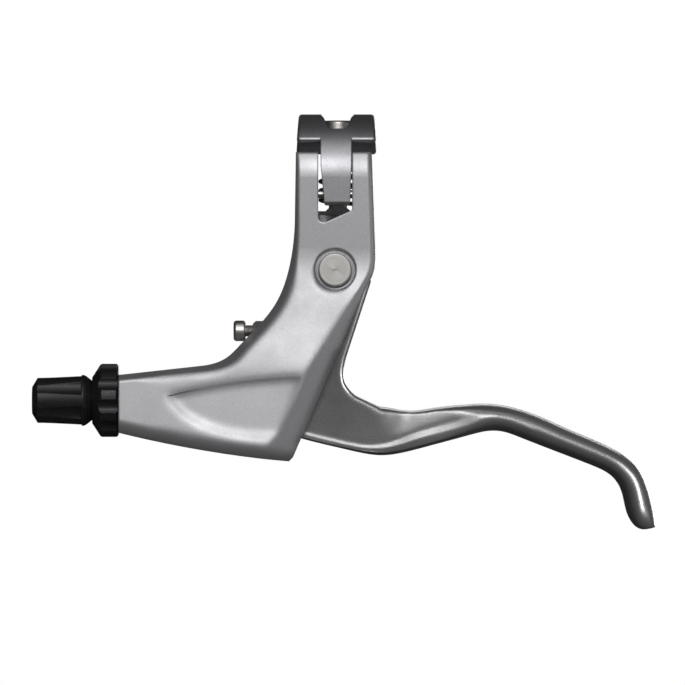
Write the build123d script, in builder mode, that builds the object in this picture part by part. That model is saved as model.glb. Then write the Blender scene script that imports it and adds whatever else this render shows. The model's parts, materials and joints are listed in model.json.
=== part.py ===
# Bicycle brake lever with a hinged handlebar clamp, a cable adjuster and a reach screw.
# Origin: centre of the handlebar bore. X runs along the bar to the blade tip, Z up, the face looks to -Y.
from math import cos, radians, sin, tan
import os

from build123d import *

os.makedirs("parts", exist_ok=True)

# Fits
running = 0.05
press = 0.02
loose = 0.3

# Sides of the fine spring wires
wire_sides = 8

# Handlebar clamp
bar_r = 11.1
ear_r = 15.2
ear_left = -10.8
ear_right = 9.5
ear_top = 6.6
arm_left = -11.05
arm_right = 10.4
slot_left = -4.85
slot_right = 4.17
slot_low_z = -12.85
slot_high_z = -8.85

# Depth of the bracket, along Y
face_y = -15.2
back_y = 1.1
face_turn = 2.5
cheek_lean = 8.5
panel_lean = 4.6

# Lever pivot
pivot_x = -0.4
pivot_z = -24.7
mid_y = -7.0
eye_r = 8.2
lever_half = 4.0
channel_half = 4.6
channel_gap = 0.8
channel_low_z = -71.6
channel_open_x = 40.0
axle_r = 3.0
axle_head_r = 4.45
axle_head_t = 1.5
sink_r = 5.6
sink_depth = 1.1
bush_r = 4.2
flange_r = 6.0
flange_t = 0.5
spring_hub_r = 4.6
spring_pocket_r = 9.0
spring_pocket_y = -6.4
return_wire_r = 0.5
return_coil_r = 5.4
return_leg = 9.0
fixed_leg = 6.2

# Cable line
cable_z = -59.4
boss_end_x = -57.8
thread_r = 5.0
thread_end_x = -45.0
nipple_x = -10.0
nipple_r = 3.6
spot_margin = 0.8
slit = 2.5

# Reach screw
reach_z = -40.9
reach_r = 1.5
reach_head_r = 2.75
reach_boss_r = 2.65
reach_boss_x = -22.3
boss_bevel = 0.8
stop_x = -9.2

# Clamp cap and its bolt
cap_r = 16.9
cap_half = 11.25
cap_top_half = 10.05
cap_front_z = 9.05
cap_back_z = 6.5
finger_low_z = -7.6
pin_r = 1.1
pin_y = -13.2
pin_z = -4.6
knuckle_r = cap_r + pin_y
bolt_x = 0.4
bolt_y = 16.9
bolt_r = 2.5
bolt_head_r = 4.25
bolt_head_h = 5.0
bolt_key = 4.0
bolt_seat_z = 10.6
bolt_end_z = -16.8
cap_lug_r = 4.5
cap_lug_z = 1.8
lug_r = 4.2
lug_z = -11.4
lug_seat_z = -7.6
saddle_z = -17.6

# Right edge of the bracket: a straight run from the pivot down to the toe
edge_top = (7.0, -31.3)
edge_low = (-11.5, -74.4)
facet_y = -15.5
facet_angle = 34.0

# Left outline of the bracket from the arm to the barrel boss, and how far its wall leans in at each point
arm_low_z = -9.5
arm_lean = 2.0
ear_lean = 1.0
bend_points = ((-12.6, -24.2), (-16.2, -33.7), (-25.6, -44.6), (-36.0, -50.2))
bend_lean = ((4.9, -1.2), (3.8, -2.5), (2.3, -2.9), (0.6, -2.7))
bend_ends = ((0, -1), (-1, -0.112))
wall_start_y = -12.0
wall_end_y = -22.0
boss_top_z = -52.6
boss_low_z = -68.0

# Front face directions
across = (cos(radians(face_turn)), -sin(radians(face_turn)), 0)
panel_normal = (
    -sin(radians(face_turn)) * cos(radians(panel_lean)),
    -cos(radians(face_turn)) * cos(radians(panel_lean)),
    sin(radians(panel_lean)),
)

# Side profile of the front face
cheek_start_z = -19.0
cheek_blend_r = 50.0
fold_z = -51.0
cheek_z = cheek_start_z - cheek_blend_r * sin(radians(cheek_lean))
cheek_y = face_y - cheek_blend_r * (1 - cos(radians(cheek_lean)))
fold_y = cheek_y - (cheek_z - fold_z) * tan(radians(cheek_lean))
toe_z = -82.0
toe_y = fold_y - (fold_z - toe_z) * tan(radians(panel_lean))

# Shallow panel sunk in the front face, deeper towards the right
panel_depth = 0.7
panel_dip = 1.9
panel_x = -25.0
panel_z = -60.0
panel_y = fold_y - (fold_z - panel_z) * tan(radians(panel_lean)) - panel_x * tan(radians(face_turn))
panel = Plane(origin=(panel_x, panel_y, panel_z), x_dir=across, z_dir=panel_normal)
panel_floor = panel.offset(-panel_depth).rotated((0, panel_dip, 0))

# Straight part of the right edge and its facet
edge_len = ((edge_top[0] - edge_low[0]) ** 2 + (edge_top[1] - edge_low[1]) ** 2) ** 0.5
edge_dir = ((edge_low[0] - edge_top[0]) / edge_len, (edge_low[1] - edge_top[1]) / edge_len)
facet_normal = (
    -edge_dir[1] * sin(radians(facet_angle)),
    -cos(radians(facet_angle)),
    edge_dir[0] * sin(radians(facet_angle)),
)
facet = Plane(
    origin=(edge_top[0], facet_y, edge_top[1]),
    x_dir=(edge_dir[0], 0, edge_dir[1]),
    z_dir=facet_normal,
)

# Bracket: the front outline is cut to the depth profile, then rounded and hollowed
with BuildPart() as bracket:
    with BuildSketch(Plane.XZ.offset(-back_y)):
        with BuildLine():
            arm = Line((ear_left, ear_top), (arm_left, arm_low_z))
            bend = Spline(arm @ 1, *bend_points, tangents=bend_ends)
            Polyline(bend @ 1, (boss_end_x, boss_top_z), (boss_end_x, boss_low_z))
            ThreePointArc((boss_end_x, boss_low_z), (-36.3, -72.5), (-12.6, -75.6))
            Line((-12.6, -75.6), edge_low)
            slope = Line(edge_low, edge_top)
            shoulder = Spline(
                slope @ 1,
                (9.75, -25.7),
                (arm_right, -19.0),
                tangents=[slope % 1, (-0.02, 1)],
            )
            Line(shoulder @ 1, (ear_right, ear_top))
            Line((ear_right, ear_top), (ear_left, ear_top))
        make_face()
    extrude(amount=24)
    with BuildSketch(Plane(origin=[-100 * a for a in across], x_dir=(0, 1, 0), z_dir=(1, 0, 0))):
        with BuildLine():
            ear_arc = CenterArc((0, 0), ear_r, 140, 40)
            Line((face_y, 0), (face_y, cheek_start_z))
            blend = TangentArc((face_y, cheek_start_z), (cheek_y, cheek_z), tangent=(0, -1))
            Line(blend @ 1, (fold_y, fold_z))
            Line((fold_y, fold_z), (toe_y, toe_z))
            Polyline((toe_y, toe_z), (30, toe_z), (30, 30), (-12, 30), ear_arc @ 0)
        make_face()
        fillet(vertices().sort_by_distance((fold_y, fold_z))[0], radius=25)
    extrude(amount=200, dir=across, mode=Mode.INTERSECT)

    # Rounded rim of the front face on the right
    rim = [e for e in edges() if (e @ 0.5).Y < -12.5 and (e @ 0.5).Z < 6.5]
    right_rim = [e for e in rim if e.center().X > 7.0 and abs((e @ 0).X - (e @ 1).X) < 3.5]
    slope_rim = [e for e in rim if e.length > 20 and e.center().X > -6 and abs((e @ 0).Z - (e @ 1).Z) > 15]
    fillet(right_rim + slope_rim, radius=1.6)

    # Side wall on the left: it leans in towards the face, most of all round the bend
    for wall_y, inset in ((wall_start_y, 0.0), (wall_end_y, 1.0)):
        inner = [(x + dx * inset, z + dz * inset) for (x, z), (dx, dz) in zip(bend_points, bend_lean)]
        with BuildSketch(Plane.XZ.offset(-wall_y)):
            with BuildLine():
                arm = Line((ear_left + ear_lean * inset, 30), (arm_left + arm_lean * inset, arm_low_z))
                bend = Spline(arm @ 1, *inner, tangents=bend_ends)
                Polyline(bend @ 1, (boss_end_x - 20, boss_top_z - 2.2 - 2.4 * inset), (-90, 30), arm @ 0)
            make_face()
    loft(ruled=True, mode=Mode.SUBTRACT)
    wall_rim = [e for e in edges() if (e @ 0.5).Y < -12.5 and e.center().X < -8.0]
    wall_rim = [e for e in wall_rim if -56 < e.center().Z < 6.5]
    wall_rim = [e for e in wall_rim if abs((e @ 0).Y - (e @ 1).Y) < 0.5 * e.length]
    fillet(wall_rim, radius=1.0)
    ear_rim = [e for e in edges() if e.center().Z > ear_top - 0.01 and e.center().Y < -12.5]
    fillet(ear_rim, radius=1.0)

    # Long facet down the right edge
    with BuildSketch(facet):
        Rectangle(160, 80)
    extrude(amount=40, mode=Mode.SUBTRACT)
    toe_rim = [e for e in edges() if (e @ 0.5).Y < -12.5 and e.center().Z < -68 and e.length > 3]
    toe_rim = [e for e in toe_rim if abs((e @ 0).X - (e @ 1).X) > abs((e @ 0).Z - (e @ 1).Z)]
    fillet(toe_rim, radius=3.5)
    back = [e for e in edges() if (e @ 0.5).Y > back_y - 0.01]
    fillet([e for e in back if e.center().X < -11.0 and e.center().Z > -53], radius=2.0)
    back = [e for e in edges() if (e @ 0.5).Y > back_y - 0.01]
    fillet([e for e in back if e.center().Z < -70 and e.length > 20], radius=3.0)

    # Sunken leaf-shaped panel with a long slope along its lower side
    for level, grow in ((panel_floor, 0.0), (panel.offset(panel_depth), 1.0)):
        with BuildSketch(level):
            with BuildLine():
                top = Spline(
                    (-19.0 - 3.0 * grow, 1.4),
                    (-8.0, 3.9 + 1.0 * grow),
                    (14.5 + 3.0 * grow, 6.8 + 1.0 * grow),
                )
                side = Line(top @ 1, (10.0 + 3.0 * grow, -7.6 - 4.6 * grow))
                Spline(
                    side @ 1,
                    (4.5, -7.7 - 5.0 * grow),
                    (-5.7, -6.4 - 5.0 * grow),
                    (-14.2, -3.2 - 4.0 * grow),
                    top @ 0,
                )
            make_face()
            fillet(vertices().sort_by_distance(side @ 1)[0], radius=2.5)
    loft(ruled=True, mode=Mode.SUBTRACT)

    # Rear saddle under the bar and the lug that takes the clamp bolt
    with BuildSketch(Plane.YZ.offset(ear_left + 0.6)):
        Polygon((-6, -9), (-6, saddle_z), (back_y, saddle_z), (8.6, -13.6), (6.6, -8.5), align=None)
    extrude(amount=ear_right - ear_left - 1.2)
    with BuildSketch(Plane.XZ.offset(2)):
        with Locations((bolt_x, lug_z)):
            Circle(lug_r)
    extrude(amount=-(bolt_y + lug_r + 2))
    with BuildSketch(Plane.YZ.offset(bolt_x - 3)):
        Polygon(
            (0, saddle_z),
            (back_y, saddle_z),
            (bolt_y + 1, lug_z - 3.9),
            (bolt_y + 1, lug_z),
            (0, lug_z),
            align=None,
        )
    extrude(amount=6)
    with BuildSketch(Plane.XY.offset(lug_seat_z)):
        with Locations((bolt_x, bolt_y)):
            Circle(lug_r + 2)
    extrude(amount=6, mode=Mode.SUBTRACT)
    with BuildSketch(Plane.XY.offset(lug_z - 10)):
        with Locations((bolt_x, bolt_y + 5)):
            Rectangle(20, 10)
        with Locations((bolt_x, bolt_y)):
            Circle(lug_r + 0.2, mode=Mode.SUBTRACT)
    extrude(amount=20, mode=Mode.SUBTRACT)
    with BuildSketch(Plane.XY.offset(lug_seat_z + 1)):
        with Locations((bolt_x, bolt_y)):
            Circle(bolt_r + running)
    extrude(amount=-20, mode=Mode.SUBTRACT)

    # Boss of the reach screw
    with BuildSketch(Plane.XZ.offset(-mid_y)):
        Polygon(
            (reach_boss_x, reach_z),
            (reach_boss_x, reach_z + reach_boss_r - boss_bevel),
            (reach_boss_x + boss_bevel, reach_z + reach_boss_r),
            (reach_boss_x + 10, reach_z + reach_boss_r),
            (reach_boss_x + 10, reach_z),
            align=None,
        )
    revolve(axis=Axis((0, mid_y, reach_z), (1, 0, 0)))
    with BuildSketch(Plane.YZ.offset(reach_boss_x)):
        with Locations((mid_y, reach_z)):
            Circle(reach_head_r + loose)
    extrude(amount=-12, mode=Mode.SUBTRACT)

    # Bore for the bar, slot for the cap finger and its pin hole
    with BuildSketch(Plane.YZ.offset(-40)):
        Circle(bar_r)
    extrude(amount=80, mode=Mode.SUBTRACT)
    with BuildSketch(Plane.XZ.offset(5)):
        with BuildLine():
            Polyline(
                (slot_left, 20),
                (slot_left, slot_low_z),
                (slot_right, slot_high_z),
                (slot_right, 20),
                close=True,
            )
        make_face()
        fillet(vertices().sort_by_distance((slot_left, slot_low_z))[0], radius=1.5)
        fillet(vertices().sort_by_distance((slot_right, slot_high_z))[0], radius=0.7)
    extrude(amount=20, mode=Mode.SUBTRACT)
    with BuildSketch(Plane.YZ.offset(ear_left + 0.8)):
        with Locations((pin_y, pin_z)):
            Circle(pin_r + press)
    extrude(amount=30, mode=Mode.SUBTRACT)

    # Channel for the lever, open to the right, wider round the blade root
    with BuildSketch(Plane.XZ.offset(-(mid_y + channel_half))):
        with Locations((pivot_x, pivot_z)):
            Circle(eye_r + channel_gap)
        with BuildLine():
            Polyline(
                (pivot_x - eye_r - channel_gap, pivot_z),
                (-11.2, -34.0),
                (-15.5, -46.0),
                (-19.0, -55.0),
                (-19.0, channel_low_z),
                (channel_open_x, channel_low_z),
                (channel_open_x, -19.0),
                (pivot_x + 4, -19.0),
                close=True,
            )
        make_face()
    extrude(amount=2 * channel_half, mode=Mode.SUBTRACT)
    with BuildSketch(Plane.XZ.offset(-(mid_y + 5.4))):
        with BuildLine():
            Polyline(
                (-19.0, -55.0),
                (-43.0, -56.0),
                (-43.0, -65.5),
                (-19.0, channel_low_z),
                (channel_open_x, channel_low_z),
                (channel_open_x, -46.0),
                (-15.0, -46.0),
                close=True,
            )
        make_face()
        fillet(vertices().filter_by(lambda v: v.X < -18), radius=1.0)
    extrude(amount=13.4, mode=Mode.SUBTRACT)

    # Window and slit at the back that let the cable in
    with BuildSketch(Plane.XZ.offset(-(mid_y + 2))):
        Polygon(
            (-17.5, -52.5),
            (channel_open_x, -52.5),
            (channel_open_x, -65.5),
            (-17.5, -65.5),
            align=None,
        )
        fillet(vertices().filter_by(lambda v: v.X < 0), radius=2.0)
    extrude(amount=-20, mode=Mode.SUBTRACT)
    with BuildSketch(Plane.XZ.offset(-mid_y)):
        Polygon(
            (boss_end_x - 2, cable_z - slit / 2),
            (-15, cable_z - slit / 2),
            (-15, cable_z + slit / 2),
            (boss_end_x - 2, cable_z + slit / 2),
            align=None,
        )
    extrude(amount=-20, mode=Mode.SUBTRACT)
    with BuildSketch(Plane.YZ.offset(boss_end_x - 1)):
        with Locations((mid_y, cable_z)):
            Circle(thread_r + running)
    extrude(amount=thread_end_x - boss_end_x + 3, mode=Mode.SUBTRACT)

    # Reach screw hole, axle hole and the sink round its head
    with BuildSketch(Plane.YZ.offset(reach_boss_x - 1)):
        with Locations((mid_y, reach_z)):
            Circle(reach_r + running)
    extrude(amount=12, mode=Mode.SUBTRACT)
    with BuildSketch(Plane.XZ.offset(-face_y - sink_depth)):
        with Locations((pivot_x, pivot_z)):
            Circle(sink_r)
    extrude(amount=8, mode=Mode.SUBTRACT)
    with BuildSketch(Plane.XZ.offset(-face_y + 2)):
        with Locations((pivot_x, pivot_z)):
            Circle(axle_r + press)
    extrude(amount=-24, mode=Mode.SUBTRACT)
bracket.part.label = "bracket"
export_step(bracket.part, "parts/bracket.step")

# Finger of the clamp cap, hinged between the ears
with BuildPart() as finger:
    with BuildSketch(Plane.YZ.offset(-6)):
        with BuildLine():
            over = CenterArc((0, 0), cap_r, 120, 60)
            Polyline(
                over @ 1,
                (-cap_r, finger_low_z),
                (pin_y + knuckle_r, finger_low_z),
                (pin_y + knuckle_r, 6.0),
                (-6.0, 10.0),
                over @ 0,
            )
        make_face()
        fillet(vertices().sort_by(Axis.Y)[:2], radius=1.0)
    extrude(amount=12)
    with BuildSketch(Plane.XZ.offset(-2)):
        Polygon(
            (-4.35, 16),
            (-4.2, 3.0),
            (-3.35, -6.0),
            (-3.35, finger_low_z - 0.3),
            (3.65, finger_low_z - 0.3),
            (3.65, -5.0),
            (4.02, 3.0),
            (4.02, 16),
            align=None,
        )
        fillet(vertices().sort_by(Axis.Y)[:2], radius=1.3)
    extrude(amount=30, mode=Mode.INTERSECT)

# Clamp cap: a shell over the bar, a groove along its top and a lug for the bolt
with BuildPart() as clamp_cap:
    with BuildSketch(Plane.YZ.offset(-cap_half)):
        Circle(cap_r)
        Circle(bar_r, mode=Mode.SUBTRACT)
        with Locations((-cap_r, cap_front_z), (cap_r, cap_back_z)):
            Rectangle(2 * cap_r, 3 * cap_r, align=(Align.CENTER, Align.MAX), mode=Mode.SUBTRACT)
    extrude(amount=2 * cap_half)
    with BuildSketch(Plane.XZ.offset(-30)):
        Polygon((-cap_half, 0), (-cap_top_half, cap_r), (cap_top_half, cap_r), (cap_half, 0), align=None)
    extrude(amount=60, mode=Mode.INTERSECT)
    outside = [e for e in edges() if e.distance_to((0, 0, 0)) > bar_r + 2]
    fillet(outside, radius=0.9)
    with BuildSketch(Plane.XY.offset(cap_lug_z)):
        with Locations((bolt_x, bolt_y)):
            Circle(cap_lug_r)
    extrude(amount=bolt_seat_z - cap_lug_z)
    with BuildSketch(Plane.XY.offset(cap_back_z)):
        with Locations((bolt_x, 12.5)):
            Rectangle(2 * cap_lug_r, 2 * (bolt_y - 12.5))
    extrude(amount=bolt_seat_z - cap_back_z)
    add(finger.part)
    with BuildSketch(Plane.XZ.offset(-30)):
        Polygon(
            (-2.0, 12.9),
            (-3.4, 15.9),
            (-4.1, 16.7),
            (-4.1, 22),
            (4.6, 22),
            (4.6, 16.7),
            (3.9, 15.9),
            (2.6, 12.9),
            align=None,
        )
    extrude(amount=60, mode=Mode.SUBTRACT)
    with BuildSketch(Plane.XY.offset(bolt_seat_z)):
        with Locations((bolt_x, bolt_y)):
            Circle(bolt_head_r + loose)
    extrude(amount=12, mode=Mode.SUBTRACT)
    with BuildSketch(Plane.XY.offset(cap_lug_z - 1)):
        with Locations((bolt_x, bolt_y)):
            Circle(bolt_r + loose)
    extrude(amount=14, mode=Mode.SUBTRACT)
    with BuildSketch(Plane.YZ.offset(-20)):
        Circle(bar_r)
    extrude(amount=40, mode=Mode.SUBTRACT)
    with BuildSketch(Plane.YZ.offset(-20)):
        with Locations((pin_y, pin_z)):
            Circle(pin_r + press)
    extrude(amount=40, mode=Mode.SUBTRACT)
clamp_cap.part.label = "clamp_cap"
export_step(clamp_cap.part, "parts/clamp_cap.step")

# Hinge pin of the cap, pressed into the ears
with BuildPart() as clamp_hinge_pin:
    with BuildSketch(Plane.YZ.offset(ear_left + 1.0)):
        with Locations((pin_y, pin_z)):
            Circle(pin_r)
    extrude(amount=ear_right - ear_left - 1.2)
    chamfer(edges().filter_by(GeomType.CIRCLE), length=0.2)
clamp_hinge_pin.part.label = "clamp_hinge_pin"
export_step(clamp_hinge_pin.part, "parts/clamp_hinge_pin.step")

# Clamp bolt with a socket head
with BuildPart() as clamp_bolt:
    with BuildSketch(Plane.XY.offset(bolt_seat_z)):
        with Locations((bolt_x, bolt_y)):
            Circle(bolt_head_r)
    extrude(amount=bolt_head_h)
    fillet(edges().sort_by(Axis.Z)[-1], radius=0.8)
    with BuildSketch(Plane.XY.offset(bolt_seat_z + bolt_head_h)):
        with Locations((bolt_x, bolt_y)):
            RegularPolygon(bolt_key / 2, 6, major_radius=False)
    extrude(amount=-2.6, mode=Mode.SUBTRACT)
    with BuildSketch(Plane.XY.offset(bolt_seat_z)):
        with Locations((bolt_x, bolt_y)):
            Circle(bolt_r)
    extrude(amount=bolt_end_z - bolt_seat_z)
    chamfer(edges().sort_by(Axis.Z)[0], length=0.7)
clamp_bolt.part.label = "clamp_bolt"
export_step(clamp_bolt.part, "parts/clamp_bolt.step")

# Coil spring on the bolt that lifts the cap when the bolt is slack
clamp_wire_r = 0.6
clamp_coil_r = 4.75
with BuildPart() as clamp_spring:
    with BuildLine():
        coil = Helix(
            pitch=2.5,
            height=cap_lug_z - lug_seat_z - 2 * clamp_wire_r - 0.1,
            radius=clamp_coil_r,
            center=(bolt_x, bolt_y, lug_seat_z + clamp_wire_r + 0.05),
        )
    with BuildSketch(Plane(origin=coil @ 0, z_dir=coil % 0)):
        RegularPolygon(clamp_wire_r, wire_sides)
    sweep(path=coil, is_frenet=True)
clamp_spring.part.label = "clamp_spring"
export_step(clamp_spring.part, "parts/clamp_spring.step")

# Lever axle: flat head in front, threaded end at the back
axle_end_y = back_y + 4.6
with BuildPart() as lever_axle:
    with BuildSketch(Plane.XZ.offset(-face_y - sink_depth)):
        with Locations((pivot_x, pivot_z)):
            Circle(axle_head_r)
    extrude(amount=axle_head_t)
    fillet(edges().sort_by(Axis.Y)[0], radius=0.5)
    with BuildSketch(Plane.XZ.offset(-face_y - sink_depth)):
        with Locations((pivot_x, pivot_z)):
            Circle(axle_r)
    extrude(amount=-(axle_end_y - face_y - sink_depth))
    chamfer(edges().sort_by(Axis.Y)[-1], length=0.5)
lever_axle.part.label = "lever_axle"
export_step(lever_axle.part, "parts/lever_axle.step")

# Washer and nut on the back end of the axle
washer_r = 5.6
washer_t = 0.8
nut_across = 9.0
nut_t = 3.0
with BuildPart() as axle_washer:
    with BuildSketch(Plane.XZ.offset(-back_y)):
        with Locations((pivot_x, pivot_z)):
            Circle(washer_r)
            Circle(axle_r + running, mode=Mode.SUBTRACT)
    extrude(amount=-washer_t)
axle_washer.part.label = "axle_washer"
export_step(axle_washer.part, "parts/axle_washer.step")

with BuildPart() as axle_nut:
    with BuildSketch(Plane.XZ.offset(-back_y - washer_t)):
        with Locations((pivot_x, pivot_z)):
            RegularPolygon(nut_across / 2, 6, major_radius=False)
    extrude(amount=-nut_t)
    with BuildSketch(Plane.XZ.offset(-back_y)):
        with Locations((pivot_x, pivot_z)):
            Circle(5.0)
    extrude(amount=-washer_t - nut_t, mode=Mode.INTERSECT)
    with BuildSketch(Plane.XZ.offset(-back_y)):
        with Locations((pivot_x, pivot_z)):
            Circle(axle_r + press)
    extrude(amount=-10, mode=Mode.SUBTRACT)
axle_nut.part.label = "axle_nut"
export_step(axle_nut.part, "parts/axle_nut.step")

# Flanged bushes pressed into the lever eye; the rear one also carries the return spring
with BuildPart() as bush_front:
    with BuildSketch(Plane.XZ.offset(-(mid_y - lever_half))):
        with Locations((pivot_x, pivot_z)):
            Circle(flange_r)
    extrude(amount=flange_t)
    with BuildSketch(Plane.XZ.offset(-(mid_y - lever_half))):
        with Locations((pivot_x, pivot_z)):
            Circle(bush_r)
    extrude(amount=-2.5)
    with BuildSketch(Plane.XZ.offset(20)):
        with Locations((pivot_x, pivot_z)):
            Circle(axle_r + running)
    extrude(amount=-30, mode=Mode.SUBTRACT)
bush_front.part.label = "bush_front"
export_step(bush_front.part, "parts/bush_front.step")

with BuildPart() as bush_rear:
    with BuildSketch(Plane.XZ.offset(-spring_pocket_y)):
        with Locations((pivot_x, pivot_z)):
            Circle(spring_hub_r)
    extrude(amount=-(mid_y + channel_half - 0.1 - spring_pocket_y))
    with BuildSketch(Plane.XZ.offset(-spring_pocket_y)):
        with Locations((pivot_x, pivot_z)):
            Circle(bush_r)
    extrude(amount=2.0)
    with BuildSketch(Plane.XZ.offset(20)):
        with Locations((pivot_x, pivot_z)):
            Circle(axle_r + running)
    extrude(amount=-30, mode=Mode.SUBTRACT)
bush_rear.part.label = "bush_rear"
export_step(bush_rear.part, "parts/bush_rear.step")

# Return spring: a coil round the rear bush with one leg on the lever and one on the bracket
return_pitch = 1.1
with BuildPart() as return_spring:
    with BuildLine() as return_wire:
        turns = Helix(
            pitch=return_pitch,
            height=return_pitch * 2.25,
            radius=return_coil_r,
            center=(pivot_x, spring_pocket_y + return_wire_r + 0.1, pivot_z),
            direction=(0, 1, 0),
            lefthand=True,
        )
        Line(turns @ 0 + Vector(fixed_leg, 0, 0), turns @ 0)
        Line(turns @ 1, turns @ 1 - Vector(0, 0, return_leg))
    with BuildSketch(Plane(origin=return_wire.wire() @ 0, z_dir=return_wire.wire() % 0)):
        RegularPolygon(return_wire_r, wire_sides)
    sweep(path=return_wire.wire(), transition=Transition.TRANSFORMED)
return_spring.part.label = "return_spring"
export_step(return_spring.part, "parts/return_spring.step")

# Reach screw
reach_head_x = -24.2
reach_head_h = 3.2
reach_key = 2.5
with BuildPart() as reach_screw:
    with BuildSketch(Plane.YZ.offset(reach_head_x)):
        with Locations((mid_y, reach_z)):
            Circle(reach_head_r)
    extrude(amount=-reach_head_h)
    fillet(edges().sort_by(Axis.X)[0], radius=0.8)
    chamfer(edges().sort_by(Axis.X)[-1], length=0.5)
    with BuildSketch(Plane.YZ.offset(reach_head_x - reach_head_h)):
        with Locations((mid_y, reach_z)):
            RegularPolygon(reach_key / 2, 6, major_radius=False)
    extrude(amount=1.7, mode=Mode.SUBTRACT)
    with BuildSketch(Plane.YZ.offset(reach_head_x)):
        with Locations((mid_y, reach_z)):
            Circle(reach_r)
    extrude(amount=stop_x - 0.3 - reach_head_x)
    chamfer(edges().sort_by(Axis.X)[-1], length=0.4)
reach_screw.part.label = "reach_screw"
export_step(reach_screw.part, "parts/reach_screw.step")

# Lock ring: turned ring with ten grooves round its rim and a slit for the cable
ring_r = 9.75
ring_left = -65.0
ring_right = boss_end_x - 0.2
ring_slit = 2.0
groove_r = 2.5
groove_count = 10
with BuildPart() as lock_ring:
    with BuildSketch(Plane.XZ.offset(-mid_y)):
        with BuildLine():
            Polyline(
                (ring_left, cable_z + thread_r + running),
                (ring_left, cable_z + 6.2),
                (-62.9, cable_z + ring_r - 0.3),
                (-62.4, cable_z + ring_r),
                (ring_right - 0.5, cable_z + ring_r),
                (ring_right, cable_z + ring_r - 0.5),
                (ring_right, cable_z + thread_r + running),
                close=True,
            )
        make_face()
    revolve(axis=Axis((0, mid_y, cable_z), (1, 0, 0)))
    with BuildSketch(Plane.YZ.offset(ring_left - 1)):
        with Locations((mid_y, cable_z)):
            with PolarLocations(ring_r + 1.6, groove_count, start_angle=9):
                Circle(groove_r)
    extrude(amount=10, mode=Mode.SUBTRACT)
    with BuildSketch(Plane.XZ.offset(-mid_y)):
        Polygon(
            (ring_left - 1, cable_z - ring_slit / 2),
            (ring_right + 1, cable_z - ring_slit / 2),
            (ring_right + 1, cable_z + ring_slit / 2),
            (ring_left - 1, cable_z + ring_slit / 2),
            align=None,
        )
    extrude(amount=-20, mode=Mode.SUBTRACT)
lock_ring.part.label = "lock_ring"
export_step(lock_ring.part, "parts/lock_ring.step")

# Barrel adjuster: fluted knob, threaded shank, seat for the cable housing and a slit
knob_left = -81.0
knob_right = ring_left - 0.1
housing_r = 3.1
housing_depth = 9.0
cable_hole_r = 1.3
knob_slit = 1.8
flute_r = 3.4
flute_out_r = 9.2
flute_count = 6
with BuildPart() as barrel_adjuster:
    with BuildSketch(Plane.XZ.offset(-mid_y)):
        with BuildLine():
            Polyline((knob_left, cable_z), (knob_left, cable_z + 3.6), (knob_left + 1.5, cable_z + 6.1))
            Spline(
                (knob_left + 1.5, cable_z + 6.1),
                (-73.0, cable_z + 6.4),
                (-67.3, cable_z + 6.8),
                tangents=[(1, 0), (1, 0.08)],
            )
            Polyline(
                (-67.3, cable_z + 6.8),
                (-66.6, cable_z + 6.5),
                (knob_right, cable_z + 5.3),
                (knob_right, cable_z + thread_r),
                (thread_end_x - 0.6, cable_z + thread_r),
                (thread_end_x, cable_z + thread_r - 0.6),
                (thread_end_x, cable_z),
                (knob_left, cable_z),
            )
        make_face()
    revolve(axis=Axis((0, mid_y, cable_z), (1, 0, 0)))
    with BuildSketch(Plane.YZ.offset(knob_left - 1)):
        with Locations((mid_y, cable_z)):
            with PolarLocations(flute_out_r, flute_count, start_angle=30):
                Circle(flute_r)
    extrude(amount=14.2, mode=Mode.SUBTRACT)
    with BuildSketch(Plane.YZ.offset(knob_left)):
        with Locations((mid_y, cable_z)):
            Circle(housing_r)
    extrude(amount=housing_depth, mode=Mode.SUBTRACT)
    with BuildSketch(Plane.YZ.offset(knob_left)):
        with Locations((mid_y, cable_z)):
            Circle(cable_hole_r)
    extrude(amount=60, mode=Mode.SUBTRACT)
    with BuildSketch(Plane.XZ.offset(-mid_y)):
        Polygon(
            (knob_left - 1, cable_z - knob_slit / 2),
            (thread_end_x + 1, cable_z - knob_slit / 2),
            (thread_end_x + 1, cable_z + knob_slit / 2),
            (knob_left - 1, cable_z + knob_slit / 2),
            align=None,
        )
    extrude(amount=-20, mode=Mode.SUBTRACT)
barrel_adjuster.part.label = "barrel_adjuster"
export_step(barrel_adjuster.part, "parts/barrel_adjuster.step")

# Flat arm of the lever with the eye and the stop face, rounded along its free edge
with BuildPart() as lever_arm:
    with BuildSketch(Plane.XZ.offset(-(mid_y + lever_half))):
        with Locations((pivot_x, pivot_z)):
            Circle(eye_r)
        with BuildLine():
            Polyline(
                (pivot_x - eye_r, pivot_z),
                (stop_x, -38.0),
                (stop_x, -44.0),
                (-15.5, -55.0),
                (-16.5, -60.0),
                (-14.0, -66.5),
                (-2.0, -70.3),
                (9.0, -72.6),
                (14.0, -71.0),
                (15.5, -67.5),
                (13.5, -64.3),
                (11.0, -61.5),
                (6.0, -59.2),
            )
            hollow = Spline((6.0, -59.2), (2.0, -53.5), (3.0, -46.7), tangents=[(-1, 0.45), (0.33, 1)])
            Polyline(
                hollow @ 1,
                (9.2, -27.8),
                (9.2, -25.5),
                (7.0, -20.6),
                (pivot_x, pivot_z),
                (pivot_x - eye_r, pivot_z),
            )
        make_face()
    extrude(amount=2 * lever_half)
    free_edge = [e for e in edges() if e.center().X > 1.0 and -62 < e.center().Z < -29]
    free_edge = [e for e in free_edge if e.length > lever_half and abs((e @ 0).Y - (e @ 1).Y) < 0.1]
    fillet(free_edge, radius=1.0)

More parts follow.
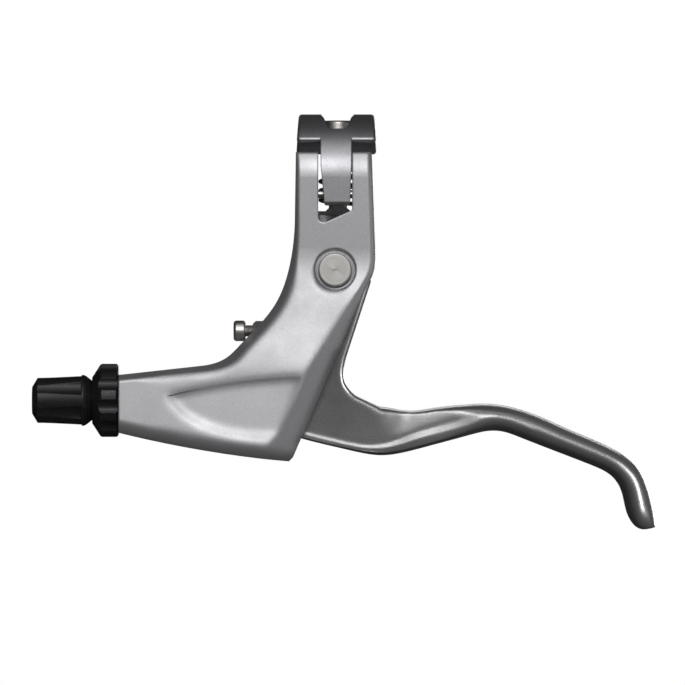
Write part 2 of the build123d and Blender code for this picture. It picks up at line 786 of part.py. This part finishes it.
# Lever: the arm, and a rib along its lower edge that swells into the finger blade
rib_h = 1.15
with BuildPart() as lever_blade:
    # Blade sections from the arm to the tip: centre, slope, half height, half width, web, roundness
    for x, z, lean, half, wide, web, blend in (
        (-13.0, -64.3, 0, 4.3, 4.75, 3.6, 0.0),
        (-8.5, -65.2, 0, 4.5, 4.75, 3.6, 0.0),
        (-4.0, -66.15, 0, 4.7, 4.75, 3.6, 0.0),
        (0.5, -66.9, 0, 5.0, 4.75, 3.6, 0.0),
        (5.0, -67.5, 0, 5.4, 4.75, 3.7, 0.0),
        (12.0, -67.75, 0, 6.05, 4.8, 4.0, 0.05),
        (19.0, -67.75, 0, 4.98, 4.85, 4.25, 0.15),
        (26.0, -66.45, 0, 4.45, 4.9, 4.3, 0.3),
        (33.5, -65.0, 0, 3.9, 4.9, 4.3, 0.65),
        (41.5, -63.7, 0, 3.5, 4.85, 4.3, 1.0),
        (49.5, -65.55, -20.6, 3.6, 4.8, 4.3, 1.0),
        (60.1, -69.85, -22, 3.4, 4.75, 4.3, 1.0),
        (70.2, -73.95, -25.8, 3.2, 4.7, 4.3, 1.0),
        (75.3, -76.85, -46, 3.15, 4.7, 4.3, 1.0),
        (78.9, -81.7, -65, 3.3, 4.7, 4.3, 1.0),
        (80.35, -87.0, -76, 3.6, 4.6, 4.3, 1.0),
        (81.35, -90.6, -78, 3.3, 4.1, 4.3, 1.0),
        (82.4, -92.75, -78, 2.45, 2.9, 4.3, 1.0),
        (83.85, -93.45, -78, 1.2, 1.4, 4.3, 1.0),
    ):
        bulge_v = (rib_h - half) * (1 - blend) - 0.45 * half * blend
        neck_w = web * (1 - blend) + wide * blend
        neck_v = (2.1 * rib_h - half) * (1 - blend) + 0.1 * half * blend
        crown_w = 0.97 * web * (1 - blend) + 0.72 * wide * blend
        crown_v = (half - 1.2) * (1 - blend) + 0.66 * half * blend
        along = (cos(radians(lean)), 0, sin(radians(lean)))
        with BuildSketch(Plane(origin=(x, mid_y, z), x_dir=(0, 1, 0), z_dir=along)):
            with BuildLine():
                Spline(
                    (0, -half),
                    (wide, bulge_v),
                    (neck_w, neck_v),
                    (crown_w, crown_v),
                    (0, half),
                    (-crown_w, crown_v),
                    (-neck_w, neck_v),
                    (-wide, bulge_v),
                    periodic=True,
                )
            make_face()
    loft()
    add(lever_arm.part)

    # Eye bore, pocket and groove for the return spring
    with BuildSketch(Plane.XZ.offset(20)):
        with Locations((pivot_x, pivot_z)):
            Circle(bush_r + press)
    extrude(amount=-40, mode=Mode.SUBTRACT)
    with BuildSketch(Plane.XZ.offset(-spring_pocket_y)):
        with Locations((pivot_x, pivot_z)):
            Circle(spring_pocket_r)
    extrude(amount=-10, mode=Mode.SUBTRACT)
    with BuildSketch(Plane.XZ.offset(-(mid_y + lever_half - 1.5))):
        Polygon(
            (pivot_x - return_coil_r - 0.8, pivot_z),
            (pivot_x - return_coil_r + 0.8, pivot_z),
            (pivot_x - return_coil_r + 0.8, pivot_z - return_leg - 1),
            (pivot_x - return_coil_r - 0.8, pivot_z - return_leg - 1),
            align=None,
        )
    extrude(amount=-10, mode=Mode.SUBTRACT)

    # Seat of the cable end, spot faced to the arm's thickness, with the slit the cable runs out of
    for side_y, out in ((mid_y - lever_half, 1), (mid_y + lever_half, -1)):
        with BuildSketch(Plane.XZ.offset(-side_y)):
            with Locations((nipple_x, cable_z)):
                Circle(nipple_r + spot_margin)
        extrude(amount=3 * out, mode=Mode.SUBTRACT)
    with BuildSketch(Plane.XZ.offset(20)):
        with Locations((nipple_x, cable_z)):
            Circle(nipple_r)
    extrude(amount=-40, mode=Mode.SUBTRACT)
    with BuildSketch(Plane.XZ.offset(-(mid_y - slit / 2))):
        Polygon(
            (nipple_x, cable_z - slit / 2),
            (nipple_x, cable_z + slit / 2),
            (-25, cable_z + slit / 2),
            (-25, cable_z - slit / 2),
            align=None,
        )
    extrude(amount=-20, mode=Mode.SUBTRACT)
lever_blade.part.label = "lever_blade"
export_step(lever_blade.part, "parts/lever_blade.step")
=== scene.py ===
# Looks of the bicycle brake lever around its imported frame: finishes, fine detail, studio and camera.
import json
from math import cos, radians, sin

import bpy
import numpy as np
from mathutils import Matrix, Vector


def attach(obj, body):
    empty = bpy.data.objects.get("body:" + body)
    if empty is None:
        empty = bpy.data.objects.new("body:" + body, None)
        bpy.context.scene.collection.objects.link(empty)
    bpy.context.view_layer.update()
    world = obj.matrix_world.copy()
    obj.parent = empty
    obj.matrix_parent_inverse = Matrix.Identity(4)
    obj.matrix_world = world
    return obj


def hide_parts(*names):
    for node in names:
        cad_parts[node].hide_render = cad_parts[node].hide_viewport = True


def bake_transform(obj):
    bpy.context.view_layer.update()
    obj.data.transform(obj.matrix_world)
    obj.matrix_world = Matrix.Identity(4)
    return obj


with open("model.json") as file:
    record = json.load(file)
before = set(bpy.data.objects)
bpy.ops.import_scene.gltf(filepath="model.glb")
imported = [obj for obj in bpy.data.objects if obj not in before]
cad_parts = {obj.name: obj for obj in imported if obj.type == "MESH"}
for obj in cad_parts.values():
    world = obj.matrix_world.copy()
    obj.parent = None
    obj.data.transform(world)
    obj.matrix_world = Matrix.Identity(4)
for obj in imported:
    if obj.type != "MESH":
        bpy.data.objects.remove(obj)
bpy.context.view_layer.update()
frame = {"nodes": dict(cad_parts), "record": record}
nodes = frame["nodes"]

# Lengths are written in millimetres and scaled by this, apart from the studio's, which are in metres
mm = 0.001

# Photograph: its middle and width on the object, and the camera's distance from the face
photo_x = 1.6
photo_z = -44.0
photo_width = 182.0
face_y = -12.0
camera_distance = 2500.0

# Axes of the turned and threaded pieces
mid_y = -7.0
pivot = Vector((-0.4, mid_y, -24.7))
cable_line = Vector((0, mid_y, -59.4))
reach_line = Vector((0, mid_y, -40.9))
bolt_line = Vector((0.4, 16.9, 0))


def new_material(name):
    material = bpy.data.materials.new(name)
    material.use_nodes = True
    tree = material.node_tree
    return material, tree, tree.nodes["Principled BSDF"]


def object_point(tree, origin=(0, 0, 0), axis=(0, 0, 1)):
    """Place on the piece in metres, measured from origin with the axis turned to Z."""
    turn = Vector(axis).rotation_difference(Vector((0, 0, 1)))
    coords = tree.nodes.new("ShaderNodeTexCoord")
    mapping = tree.nodes.new("ShaderNodeMapping")
    mapping.inputs["Rotation"].default_value = turn.to_euler()
    mapping.inputs["Location"].default_value = -(turn @ (Vector(origin) * mm))
    tree.links.new(coords.outputs["Object"], mapping.inputs["Vector"])
    return mapping.outputs["Vector"]


def noise(tree, grain, detail):
    """Noise in the piece's own frame, with features of about grain millimetres."""
    texture = tree.nodes.new("ShaderNodeTexNoise")
    texture.inputs["Scale"].default_value = 1 / (grain * mm)
    texture.inputs["Detail"].default_value = detail
    tree.links.new(object_point(tree), texture.inputs["Vector"])
    return texture.outputs["Fac"]


def ramp(tree, source, low, high, start=0.3, end=0.7):
    """Colour that runs from low to high as the source runs from start to end."""
    colours = tree.nodes.new("ShaderNodeValToRGB")
    colours.color_ramp.elements[0].position = start
    colours.color_ramp.elements[0].color = (*low, 1)
    colours.color_ramp.elements[1].position = end
    colours.color_ramp.elements[1].color = (*high, 1)
    tree.links.new(source, colours.inputs["Fac"])
    return colours.outputs["Color"]


def spread(tree, source, low, high, start=0.3, end=0.7):
    """Number that runs from low to high as the source runs from start to end."""
    scaled = tree.nodes.new("ShaderNodeMapRange")
    scaled.inputs["From Min"].default_value = start
    scaled.inputs["From Max"].default_value = end
    scaled.inputs["To Min"].default_value = low
    scaled.inputs["To Max"].default_value = high
    tree.links.new(source, scaled.inputs["Value"])
    return scaled.outputs["Result"]


def combine(tree, operation, a, b):
    """One sum on two numbers or sockets."""
    node = tree.nodes.new("ShaderNodeMath")
    node.operation = operation
    for socket, value in zip(node.inputs, (a, b)):
        if isinstance(value, (int, float)):
            socket.default_value = value
        else:
            tree.links.new(value, socket)
    return node.outputs["Value"]


def bump(tree, height, depth, strength, below):
    """Bump of the given depth in millimetres, on top of another normal."""
    node = tree.nodes.new("ShaderNodeBump")
    node.inputs["Strength"].default_value = strength
    node.inputs["Distance"].default_value = depth * mm
    tree.links.new(height, node.inputs["Height"])
    tree.links.new(below, node.inputs["Normal"])
    return node.outputs["Normal"]


def soft_edges(tree, radius, centre=None, centre_radius=0.0, reach=0.0):
    """Normal rounded over sharp edges, as casting and paint leave them, by more within reach of a centre."""
    node = tree.nodes.new("ShaderNodeBevel")
    node.samples = 8
    node.inputs["Radius"].default_value = radius * mm
    if centre is not None:
        away = tree.nodes.new("ShaderNodeVectorMath")
        away.operation = "LENGTH"
        tree.links.new(object_point(tree, centre), away.inputs[0])
        near = 0.8 * reach * mm
        size = spread(tree, away.outputs["Value"], centre_radius * mm, radius * mm, near, reach * mm)
        tree.links.new(size, node.inputs["Radius"])
    return node.outputs["Normal"]


def painted_hollow_shade(tree, colour, reach, dark, full):
    """Painted shade: colour that falls to a dark share of itself in hollows narrower than reach, standing in
    for the shade that falls there.
    """
    open_air = tree.nodes.new("ShaderNodeAmbientOcclusion")
    open_air.samples = 8
    open_air.inputs["Distance"].default_value = reach * mm
    mix = tree.nodes.new("ShaderNodeMix")
    mix.data_type = "RGBA"
    mix.blend_type = "MULTIPLY"
    mix.inputs["Factor"].default_value = 1.0
    tree.links.new(colour, mix.inputs["A"])
    shade = ramp(tree, open_air.outputs["AO"], (dark, dark, dark), (1, 1, 1), start=0.05, end=full)
    tree.links.new(shade, mix.inputs["B"])
    return mix.outputs["Result"]


def thread(tree, origin, axis, radius, pitch):
    """Height of a screw thread on everything within radius of the axis."""
    margin = 0.05
    place = object_point(tree, origin, axis)
    turn = tree.nodes.new("ShaderNodeTexGradient")
    turn.gradient_type = "RADIAL"
    tree.links.new(place, turn.inputs["Vector"])
    parts = tree.nodes.new("ShaderNodeSeparateXYZ")
    tree.links.new(place, parts.inputs["Vector"])
    along = combine(tree, "DIVIDE", parts.outputs["Z"], pitch * mm)
    ridge = combine(tree, "PINGPONG", combine(tree, "ADD", along, turn.outputs["Fac"]), 0.5)
    across_x = combine(tree, "POWER", parts.outputs["X"], 2)
    across_y = combine(tree, "POWER", parts.outputs["Y"], 2)
    across = combine(tree, "ADD", across_x, across_y)
    on_shank = combine(tree, "LESS_THAN", across, ((radius + margin) * mm) ** 2)
    return combine(tree, "MULTIPLY", ridge, on_shank)


def vary(tree, shader, source, roughness, by):
    """Roughness that runs a little to either side of the given one with the source."""
    tree.links.new(spread(tree, source, roughness - by, roughness + by), shader.inputs["Roughness"])


def metallic_paint(name, low, high, metallic, roughness, edges, hollow_shade):
    """Metal flake paint: fine bright grain under a soft gloss, rounded over edges, with painted shade
    darkening its colour in hollows.
    """
    material, tree, shader = new_material(name)
    flakes = noise(tree, grain=0.28, detail=2.0)
    dark, full = hollow_shade
    # Painted shade: the paint's colour is darkened in hollows by ambient occlusion
    colour = painted_hollow_shade(tree, ramp(tree, flakes, low, high), reach=9.0, dark=dark, full=full)
    tree.links.new(colour, shader.inputs["Base Color"])
    cloud = noise(tree, grain=8.0, detail=4.0)
    vary(tree, shader, cloud, roughness, 0.03)
    normal = bump(tree, flakes, depth=0.03, strength=0.12, below=soft_edges(tree, *edges))
    tree.links.new(normal, shader.inputs["Normal"])
    shader.inputs["Metallic"].default_value = metallic
    return material


def bare_metal(name, low, high, roughness, screw=None, rings=None):
    """Plated or turned metal with a little tarnish, and its thread or turning marks if it has them."""
    material, tree, shader = new_material(name)
    tarnish = noise(tree, grain=3.0, detail=5.0)
    tree.links.new(ramp(tree, tarnish, low, high), shader.inputs["Base Color"])
    vary(tree, shader, tarnish, roughness, 0.05)
    pits = noise(tree, grain=0.3, detail=3.0)
    normal = bump(tree, pits, depth=0.01, strength=0.15, below=soft_edges(tree, radius=0.15))
    if screw:
        normal = bump(tree, thread(tree, *screw), depth=0.25, strength=1.0, below=normal)
    if rings:
        wave = tree.nodes.new("ShaderNodeTexWave")
        wave.wave_type = "RINGS"
        wave.rings_direction = "Z"
        wave.inputs["Scale"].default_value = 1100
        wave.inputs["Distortion"].default_value = 0.6
        tree.links.new(object_point(tree, *rings), wave.inputs["Vector"])
        normal = bump(tree, wave.outputs["Fac"], depth=0.01, strength=0.2, below=normal)
    tree.links.new(normal, shader.inputs["Normal"])
    shader.inputs["Metallic"].default_value = 1.0
    return material


def moulded_plastic(name, low, high, roughness, screw=None):
    """Moulded plastic with a fine spark grain, and its thread if it has one."""
    material, tree, shader = new_material(name)
    sparks = noise(tree, grain=0.45, detail=4.0)
    tree.links.new(ramp(tree, sparks, low, high), shader.inputs["Base Color"])
    vary(tree, shader, sparks, roughness, 0.06)
    normal = bump(tree, sparks, depth=0.05, strength=0.25, below=soft_edges(tree, radius=0.3))
    if screw:
        normal = bump(tree, thread(tree, *screw), depth=0.4, strength=1.0, below=normal)
    tree.links.new(normal, shader.inputs["Normal"])
    return material


# Thread of each screw: a point on its axis, the axis, the radius and the pitch
reach_thread = (reach_line, (1, 0, 0), 1.5, 0.5)
bolt_thread = (bolt_line, (0, 0, 1), 2.5, 0.8)
axle_thread = (pivot, (0, 1, 0), 3.0, 1.0)
barrel_thread = (cable_line, (1, 0, 0), 5.0, 1.0)

# Rounding of painted edges: a radius, and on the bracket a centre, a wider radius there and its reach
panel_edges = (0.7, (-18, -14, -57), 3.4, 36.0)
cap_edges = (0.5,)
lever_edges = (0.3,)

zinc = {"low": (0.74, 0.71, 0.67), "high": (0.82, 0.79, 0.75), "roughness": 0.44}
black = {"low": (0.006, 0.006, 0.007), "high": (0.013, 0.013, 0.014), "roughness": 0.45}
# Each paint's hollow numbers set its painted shade in hollows: the darkest share of its colour, and the
# openness at which that shade ends
finishes = {
    "silver_paint": metallic_paint(
        "silver_paint",
        low=(0.54, 0.54, 0.56),
        high=(0.66, 0.66, 0.68),
        metallic=0.85,
        roughness=0.48,
        edges=panel_edges,
        hollow_shade=(0.2, 0.35),
    ),
    "grey_paint": metallic_paint(
        "grey_paint",
        low=(0.40, 0.40, 0.42),
        high=(0.52, 0.52, 0.54),
        metallic=0.95,
        roughness=0.45,
        edges=cap_edges,
        hollow_shade=(0.08, 0.7),
    ),
    "lever_alloy": metallic_paint(
        "lever_alloy",
        low=(0.15, 0.15, 0.15),
        high=(0.20, 0.20, 0.20),
        metallic=0.8,
        roughness=0.31,
        edges=lever_edges,
        hollow_shade=(0.6, 0.35),
    ),
    "axle_steel": bare_metal(
        "axle_steel",
        low=(0.90, 0.88, 0.85),
        high=(0.98, 0.96, 0.93),
        roughness=0.60,
        screw=axle_thread,
        rings=(pivot, (0, 1, 0)),
    ),
    "steel": bare_metal("steel", **zinc),
    "spring_steel": bare_metal(
        "spring_steel", low=(0.30, 0.30, 0.30), high=(0.45, 0.45, 0.45), roughness=0.3
    ),
    "bush_plastic": moulded_plastic(
        "bush_plastic", low=(0.05, 0.05, 0.05), high=(0.08, 0.08, 0.08), roughness=0.5
    ),
    "black_plastic": moulded_plastic("black_plastic", **black),
}
slots = {part["node"]: part["material_slot"] for part in frame["record"]["subparts"]}
finish_of = {name: finishes[slots[name]] for name in nodes}
finish_of["reach_screw"] = bare_metal("steel_reach_screw", **zinc, screw=reach_thread)
finish_of["clamp_bolt"] = bare_metal("steel_clamp_bolt", **zinc, screw=bolt_thread)
finish_of["barrel_adjuster"] = moulded_plastic("black_barrel", **black, screw=barrel_thread)
for name, node in nodes.items():
    node.data.materials.clear()
    node.data.materials.append(finish_of[name])


# Lever's root: places along the blade, and its lower and upper edge there
root_x = (-13, -5, 3, 8, 12, 16, 20, 26, 33, 41)
lower_z = (-68.6, -70.7, -72.6, -73.5, -73.8, -73.5, -72.5, -71.0, -69.0, -67.2)
upper_z = (-60.0, -60.0, -60.0, -60.2, -61.7, -62.3, -62.6, -62.0, -61.2, -60.2)

# Its section: a round bead that grows along the blade, and above it a plane that comes to lean back
bead_mid = (1.15, 2.2)
bead_r = (1.25, 2.7)
bead_out = (0.22, 0.5)
plane_half = 4.0
plane_lean = 0.22
plane_start = 1.0
plane_climb = 9.0
edge_lift = 0.65

# Spans along X over which a share of that work comes in or goes out
bead_grows = (6, 24)
plane_turns = (11, 20)
root_comes = (-15, -13)
root_goes = (27, 41)
lift_comes = (0, 4)
lift_goes = (31, 41)
seam_comes = (-2, 4)
seam_goes = (24, 32)
corner_comes = (7, 11)
corner_goes = (16, 20)
blade_comes = (36, 46)
blade_goes = (77, 81)

# The same outwards from the middle, above the lower edge, from the upper edge, in bead radii, and along Z
side_comes = (2.4, 3.2)
above_lower = (0.2, 0.6)
past_upper = (1, 3)
lift_below_upper = (-5, -1)
edge_below_upper = (-2.2, -0.8)
seam_above_bead = (1.1, 2.0)
lift_ends_z = (-57, -53)
seam_ends_z = (-59, -56)

# Even mesh of the lever, and the rounds of smoothing of its seam, its blade and the whole
lever_voxel = 0.35
edge_kept = 0.8
seam_rounds = 40
blade_rounds = 160
all_rounds = 4


def step(value, start, end):
    """Smooth rise from 0 at start to 1 at end."""
    t = np.clip((value - start) / (end - start), 0, 1)
    return t * t * (3 - 2 * t)


def between(share, ends):
    """Value at a share of the way from the first of two ends to the second."""
    return ends[0] + (ends[1] - ends[0]) * share


def flowing(x, along, heights):
    """Height of a line through the given points, with its corners rounded over 4 mm."""
    return sum(np.interp(x + shift, along, heights) for shift in (-2, -1, 0, 1, 2)) / 5


def take_modifiers(piece):
    """Makes what the piece's modifiers show its own mesh."""
    shown = piece.evaluated_get(bpy.context.evaluated_depsgraph_get())
    piece.data = bpy.data.meshes.new_from_object(shown)
    piece.modifiers.clear()


def copy_of(node, name):
    """New piece with a CAD node's shape."""
    piece = bpy.data.objects.new(name, node.data.copy())
    bpy.context.collection.objects.link(piece)
    return piece


def add_smoothing(piece, name, shares, rounds):
    """Modifier that smooths the piece for some rounds, by each vertex's share or else all over."""
    smooth = piece.modifiers.new("smooth", "SMOOTH")
    smooth.iterations = rounds
    if shares is not None:
        group = piece.vertex_groups.new(name=name)
        for index in np.flatnonzero(shares > 0.01):
            group.add([int(index)], float(shares[index]), "REPLACE")
        smooth.vertex_group = name


# Lever: an even copy of the solid, with its points in millimetres
lever = copy_of(nodes["lever_blade"], "lever_blade_smooth")
remesh = lever.modifiers.new("even", "REMESH")
remesh.mode = "VOXEL"
remesh.voxel_size = lever_voxel * mm
take_modifiers(lever)
points = np.empty(len(lever.data.vertices) * 3)
lever.data.vertices.foreach_get("co", points)
x, y, z = points.reshape(-1, 3).T / mm
lower = flowing(x, root_x, lower_z)
upper = flowing(x, root_x, upper_z)

# Half width of its root's section: a bead along the lower edge, and above it a plane that leans back
grown = step(x, *bead_grows)
mid = between(grown, bead_mid)
radius = between(grown, bead_r)
from_bead = (z - lower - mid) / radius
round_below = np.sqrt(np.clip(1 - from_bead**2, 0, 1))
soft_above = 0.5 + 0.5 * np.cos(np.pi * np.clip(from_bead, 0, 1))
bead = plane_half + between(grown, bead_out) * np.where(from_bead < 0, round_below, soft_above)
climb = np.clip(z - lower - mid - radius, 0, plane_climb)
leaning = climb - plane_start * (1 - np.exp(-climb / plane_start))
plane = plane_half - plane_lean * step(x, *plane_turns) * leaning

# That section takes over on the root's two sides, away from its edges
wide = np.abs(y - mid_y)
shaped = np.where(from_bead < 1, bead, np.minimum(plane, wide))
worked = step(wide, *side_comes) * step(z - lower, *above_lower) * (1 - step(z - upper, *past_upper))
worked = worked * step(x, *root_comes) * (1 - step(x, *root_goes))
y = mid_y + np.sign(y - mid_y) * (wide + (shaped - wide) * worked)

# The upper edge rises to the photograph's line
lift = step(z - upper, *lift_below_upper) * (1 - step(z, *lift_ends_z))
z = z + edge_lift * lift * step(x, *lift_comes) * (1 - step(x, *lift_goes))
lever.data.vertices.foreach_set("co", np.column_stack((x, y, z)).ravel() * mm)

# Smoothing takes away the seam between arm and blade, but little of their upper edge away from its corner
in_corner = step(x, *corner_comes) * (1 - step(x, *corner_goes))
at_edge = step(z - upper, *edge_below_upper) * (1 - in_corner)
seam = step(from_bead, *seam_above_bead) * (1 - edge_kept * at_edge)
seam = seam * step(x, *seam_comes) * (1 - step(x, *seam_goes)) * (1 - step(z, *seam_ends_z))
blade = step(x, *blade_comes) * (1 - step(x, *blade_goes))
add_smoothing(lever, "seam", seam, seam_rounds)
add_smoothing(lever, "blade", blade, blade_rounds)
add_smoothing(lever, "all", None, all_rounds)
take_modifiers(lever)
lever.data.shade_smooth()
lever.data.materials.clear()
lever.data.materials.append(finish_of["lever_blade"])
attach(lever, "lever")
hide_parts("lever_blade")

# Return spring: a copy of its solid with its placing baked into its points, shown in place of the node; on
# the real lever its front leg stays on the bracket and its rear leg goes with the lever
spring = copy_of(nodes["return_spring"], "return_spring_twisting")
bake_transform(spring)
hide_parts("return_spring")


def stage_material(name, grey):
    """Plain matt finish of the studio's own cards and floor."""
    material, tree, shader = new_material(name)
    shader.inputs["Base Color"].default_value = (grey, grey, grey, 1)
    shader.inputs["Roughness"].default_value = 0.9
    shader.inputs["Specular IOR Level"].default_value = 0.1
    return material


def card(name, centre, facing, width, height, material):
    """Flat studio card, turned to face the given direction."""
    w, h = width / 2, height / 2
    mesh = bpy.data.meshes.new(name)
    mesh.from_pydata([(-w, -h, 0), (w, -h, 0), (w, h, 0), (-w, h, 0)], [], [(0, 1, 2, 3)])
    obj = bpy.data.objects.new(name, mesh)
    obj.location = centre
    obj.rotation_euler = Vector(facing).to_track_quat("Z", "Y").to_euler()
    obj.data.materials.append(material)
    bpy.context.collection.objects.link(obj)
    return obj


def lamp(name, elevation, azimuth, width, height, power):
    """Soft box that looks at the object from the given direction, azimuth 0 being the camera's side."""
    data = bpy.data.lights.new(name, "AREA")
    data.shape = "RECTANGLE"
    data.size = width
    data.size_y = height
    data.energy = power
    obj = bpy.data.objects.new(name, data)
    e, a = radians(elevation), radians(azimuth)
    out = Vector((sin(a) * cos(e), -cos(a) * cos(e), sin(e)))
    obj.location = middle + out * lamp_distance
    obj.rotation_euler = out.to_track_quat("Z", "Y").to_euler()
    obj.visible_camera = False
    bpy.context.collection.objects.link(obj)
    return obj


# Studio: a pale floor under the part, and a dark tent that only reflections see, open to the backdrop
middle = Vector((photo_x * mm, mid_y * mm, photo_z * mm))
floor_y = 0.1
floor_z = -0.34
floor_side = 1.6
tent_floor_z = -0.3
tent_side = 5.0
window = 1.4
half = tent_side / 2
beside = (tent_side + window) / 4
strip = (tent_side - window) / 2
pale = stage_material("floor_pale", 0.82)
dark = stage_material("tent_dark", 0.02)
card("floor", (0, floor_y, floor_z), (0, 0, 1), floor_side, floor_side, pale)
for name, centre, facing, width, height in (
    ("tent_left", (-half, 0, 0), (1, 0, 0), tent_side, tent_side),
    ("tent_right", (half, 0, 0), (-1, 0, 0), tent_side, tent_side),
    ("tent_top", (0, 0, half), (0, 0, -1), tent_side, tent_side),
    ("tent_floor", (0, 0, tent_floor_z), (0, 0, 1), tent_side, tent_side),
    ("tent_front", (0, -half, 0), (0, 1, 0), tent_side, tent_side),
    ("tent_back_left", (-beside, half, 0), (0, -1, 0), strip, tent_side),
    ("tent_back_right", (beside, half, 0), (0, -1, 0), strip, tent_side),
    ("tent_back_top", (0, half, beside), (0, -1, 0), window, strip),
):
    shade = card(name, centre, facing, width, height, dark)
    shade.visible_camera = False
    shade.visible_diffuse = False
    shade.visible_transmission = False
    shade.visible_shadow = False

# Lamps: elevation and azimuth in degrees, width and height in metres, power in watts
lamp_distance = 1.3
lamp("key_box", 26, 0, 0.34, 0.26, 5.0)
lamp("top_box", 56, 0, 0.8, 0.5, 1.4)
lamp("side_box", -18, 66, 0.9, 0.9, 2.6)
lamp("back_box", 3, 152, 0.6, 0.3, 3.6)
edge_box = lamp("edge_box", 12, 42, 0.6, 0.7, 20.0)
rim_strip = lamp("rim_strip", 145, 0, 1.2, 0.3, 5.0)

# The last two lamps draw the bright edges of the lever alone
lever_only = bpy.data.collections.new("lever_only")
lever_only.objects.link(lever)
edge_box.light_linking.receiver_collection = lever_only
rim_strip.light_linking.receiver_collection = lever_only

# White backdrop that the camera and shiny surfaces see; the light that it sends is dimmer
world_light = 0.4
world_seen = 1.0
world = bpy.data.worlds.new("studio")
bpy.context.scene.world = world
world.use_nodes = True
tree = world.node_tree
tree.nodes.clear()
path = tree.nodes.new("ShaderNodeLightPath")
seen = combine(tree, "MAXIMUM", path.outputs["Is Camera Ray"], path.outputs["Is Glossy Ray"])
seen = combine(tree, "MAXIMUM", seen, path.outputs["Is Transmission Ray"])
light = tree.nodes.new("ShaderNodeBackground")
light.inputs["Color"].default_value = (1, 1, 1, 1)
light.inputs["Strength"].default_value = world_light
white = tree.nodes.new("ShaderNodeBackground")
white.inputs["Color"].default_value = (1, 1, 1, 1)
white.inputs["Strength"].default_value = world_seen
mix = tree.nodes.new("ShaderNodeMixShader")
tree.links.new(seen, mix.inputs["Fac"])
tree.links.new(light.outputs[0], mix.inputs[1])
tree.links.new(white.outputs[0], mix.inputs[2])
output = tree.nodes.new("ShaderNodeOutputWorld")
tree.links.new(mix.outputs[0], output.inputs["Surface"])

# Camera: straight at the face, as in the photograph
camera_data = bpy.data.cameras.new("camera")
camera_data.sensor_fit = "HORIZONTAL"
camera_data.sensor_width = 36.0
camera_data.lens = camera_data.sensor_width * camera_distance / photo_width
camera_data.clip_start = 0.01
camera = bpy.data.objects.new("camera", camera_data)
camera.location = (photo_x * mm, (face_y - camera_distance) * mm, photo_z * mm)
camera.rotation_euler = (radians(90), 0, 0)
bpy.context.collection.objects.link(camera)
bpy.context.scene.camera = camera
bpy.context.scene.view_settings.view_transform = "Standard"
